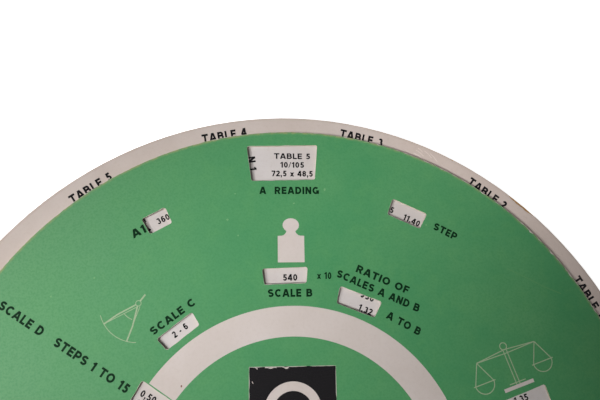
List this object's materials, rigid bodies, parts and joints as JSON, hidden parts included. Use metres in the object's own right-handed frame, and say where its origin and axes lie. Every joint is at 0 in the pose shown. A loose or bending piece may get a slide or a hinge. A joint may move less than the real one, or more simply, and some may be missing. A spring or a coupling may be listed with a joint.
{
  "type": "wheel chart",
  "caption": "Round card wheel chart: a green printed cover with cut windows over a larger data disc that turns on a metal eyelet to bring other figures into view.",
  "frame": {"origin": "on the eyelet's axis, level with the data disc's back face", "axes": "+Z out of the printed face along the eyelet's axis, +Y towards the chart's top window, +X to the reader's right"},
  "size_m": [0.2564, 0.2564, 0.0033],
  "materials": {
    "cover_card": "matte printed card, green ink on cream stock, solid paperboard",
    "disc_paper": "matte aged cream paper",
    "disc_board": "raw brown board, solid paperboard",
    "slip_card": "smooth card",
    "eyelet_brass": "satin, lightly tarnished",
    "washer_steel": "plain zinc-plated"
  },
  "bodies": {
    "cover": {"front_cover": "cover_card", "slip_washer": "slip_card", "eyelet": "eyelet_brass", "eyelet_washer": "washer_steel"},
    "data_disc": {"data_disc_face": "disc_paper", "data_disc_core": "disc_board", "data_disc_back": "disc_paper"}
  },
  "joints": [
    {"name": "data_disc_turn", "type": "hinge", "parent": "cover", "child": "data_disc", "pos_m": [0, 0, 0], "axis": [0, 0, 1], "continuous": true}
  ]
}
